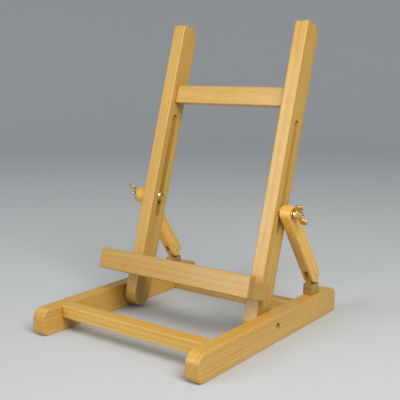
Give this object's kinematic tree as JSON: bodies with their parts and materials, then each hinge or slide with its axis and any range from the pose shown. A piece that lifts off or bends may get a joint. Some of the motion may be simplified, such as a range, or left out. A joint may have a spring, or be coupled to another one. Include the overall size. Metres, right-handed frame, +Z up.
{
  "type": "tablet stand",
  "caption": "Wooden easel stand for a tablet: flat base frame, slotted uprights with a lipped ledge, and hinged struts clamped by brass wing nuts.",
  "frame": {"origin": "on the floor under the middle of the base frame", "axes": "+Z up, -Y towards the user, +X to the right as seen from the front"},
  "size_m": [0.1846, 0.2046, 0.2531],
  "materials": {
    "lacquered_wood": "pale pine, amber satin lacquer",
    "dowel_wood": "bare beech",
    "brass": "bright brass plating",
    "zinc_steel": "zinc plated"
  },
  "bodies": {
    "base": {"rail_left": "lacquered_wood", "rail_right": "lacquered_wood", "front_crossbar": "lacquered_wood", "rear_crossbar": "lacquered_wood", "front_dowel_left": "dowel_wood", "front_dowel_right": "dowel_wood", "rear_dowel_left": "dowel_wood", "rear_dowel_right": "dowel_wood", "foot_post_left": "lacquered_wood", "foot_post_right": "lacquered_wood", "pivot_washer_left": "zinc_steel", "pivot_washer_right": "zinc_steel"},
    "easel": {"upright_left": "lacquered_wood", "upright_right": "lacquered_wood", "ledge_shelf": "lacquered_wood", "ledge_lip": "lacquered_wood", "upper_cross_rail": "lacquered_wood", "cross_rail_dowel_left": "dowel_wood", "cross_rail_dowel_right": "dowel_wood", "ledge_screw_left": "zinc_steel", "ledge_screw_right": "zinc_steel", "pivot_screw_left": "zinc_steel", "pivot_screw_right": "zinc_steel"},
    "strut_left": {"strut_left": "lacquered_wood", "strut_pin_left": "zinc_steel", "strut_washer_left": "brass", "nut_washer_left": "brass"},
    "clamp_left": {"clamp_bolt_left": "brass"},
    "nut_left": {"wing_nut_left": "brass"},
    "strut_right": {"strut_right": "lacquered_wood", "strut_pin_right": "zinc_steel", "strut_washer_right": "brass", "nut_washer_right": "brass"},
    "clamp_right": {"clamp_bolt_right": "brass"},
    "nut_right": {"wing_nut_right": "brass"}
  },
  "joints": [
    {"name": "easel_lean", "type": "hinge", "parent": "base", "child": "easel", "pos_m": [0, 0.00235, 0.0131], "axis": [-1, 0, 0], "range_deg": [-7, 65]},
    {"name": "strut_left_swing", "type": "hinge", "parent": "base", "child": "strut_left", "pos_m": [-0.07635, 0.07085, 0.0388], "axis": [-1, 0, 0], "range_deg": [-14.5, 130.5]},
    {"name": "clamp_left_turn", "type": "hinge", "parent": "strut_left", "child": "clamp_left", "pos_m": [-0.07635, 0.02906, 0.09885], "axis": [-1, 0, 0], "range_deg": [-65.5, 7.5]},
    {"name": "nut_left_spin", "type": "hinge", "parent": "clamp_left", "child": "nut_left", "pos_m": [-0.085, 0.02906, 0.09885], "axis": [-1, 0, 0], "continuous": true},
    {"name": "strut_right_swing", "type": "hinge", "parent": "base", "child": "strut_right", "pos_m": [0.07635, 0.07085, 0.0388], "axis": [-1, 0, 0], "range_deg": [-14.5, 130.5]},
    {"name": "clamp_right_turn", "type": "hinge", "parent": "strut_right", "child": "clamp_right", "pos_m": [0.07635, 0.02906, 0.09885], "axis": [-1, 0, 0], "range_deg": [-65.5, 7.5]},
    {"name": "nut_right_spin", "type": "hinge", "parent": "clamp_right", "child": "nut_right", "pos_m": [0.085, 0.02906, 0.09885], "axis": [1, 0, 0], "continuous": true}
  ],
  "couplings": [
    {"joint": "strut_left_swing", "follows": "easel_lean", "ratio": 2},
    {"joint": "clamp_left_turn", "follows": "easel_lean", "ratio": -1},
    {"joint": "strut_right_swing", "follows": "easel_lean", "ratio": 2},
    {"joint": "clamp_right_turn", "follows": "easel_lean", "ratio": -1}
  ]
}
